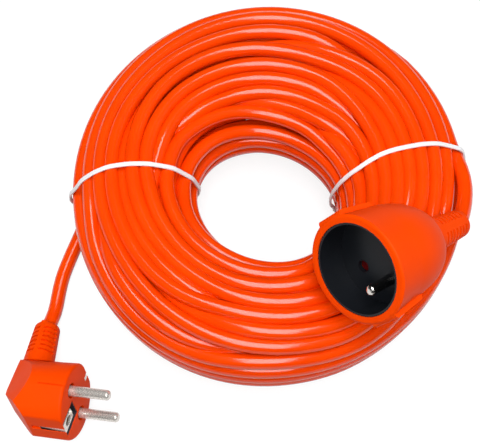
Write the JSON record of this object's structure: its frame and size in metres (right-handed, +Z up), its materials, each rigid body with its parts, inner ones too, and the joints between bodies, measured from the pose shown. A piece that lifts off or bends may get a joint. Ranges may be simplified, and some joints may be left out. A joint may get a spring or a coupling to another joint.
{
  "type": "extension cord",
  "caption": "Orange extension cord coiled flat and held by two ties, with a moulded angled earthed plug and a round coupler socket.",
  "frame": {"origin": "centre of the overall box in plan, on the surface that the coil lies on", "axes": "+Z up through the coil; +X from the plug's side towards the socket's side; +Y towards the coil's far, loose side"},
  "size_m": [0.2289, 0.225, 0.1156],
  "materials": {
    "orange_pvc": "soft PVC, satin, bright orange",
    "orange_cord": "smooth PVC sheath, glossy, bright orange",
    "carrier_plastic": "dark moulded plastic",
    "black_plastic": "fine satin black",
    "red_plastic": "dark red, smooth",
    "white_tie": "thin plastic coat over a wire",
    "nickel_plate": "nickel plated brass, bright",
    "tinned_crimp": "tinned, plain",
    "spring_steel": "drawn wire",
    "brass": "plain, drawn",
    "core_brown": "smooth PVC",
    "core_blue": "smooth PVC",
    "core_earth": "smooth PVC, green and yellow"
  },
  "bodies": {
    "cord": {"plug_body": "orange_pvc", "plug_pin_carrier": "carrier_plastic", "plug_pin_line": "nickel_plate", "plug_pin_neutral": "nickel_plate", "plug_earth_bracket": "nickel_plate", "plug_earth_sleeve": "brass", "plug_crimps": "tinned_crimp", "plug_wire_brown": "core_brown", "plug_wire_blue": "core_blue", "plug_wire_earth": "core_earth", "plug_lead": "orange_cord", "cable_coil": "orange_cord", "coil_core": "orange_cord", "socket_lead": "orange_cord", "tie_left": "white_tie", "tie_right": "white_tie", "socket_shell": "orange_pvc", "socket_well": "black_plastic", "socket_earth_pin": "nickel_plate", "shutter_spring": "spring_steel", "socket_contact_carrier": "black_plastic", "socket_contact_line": "brass", "socket_contact_neutral": "brass", "socket_crimps": "tinned_crimp", "socket_wire_brown": "core_brown", "socket_wire_blue": "core_blue", "socket_wire_earth": "core_earth"},
    "shutter": {"socket_shutter": "red_plastic"}
  },
  "joints": [
    {"name": "shutter_turn", "type": "hinge", "parent": "cord", "child": "shutter", "pos_m": [0.06006, -0.0451, 0.0855], "axis": [-0.7064, -0.5227, 0.4772], "range_deg": [0, 36], "stiffness_Nm_per_rad": 0.004, "deforming": ["shutter_spring"]}
  ]
}
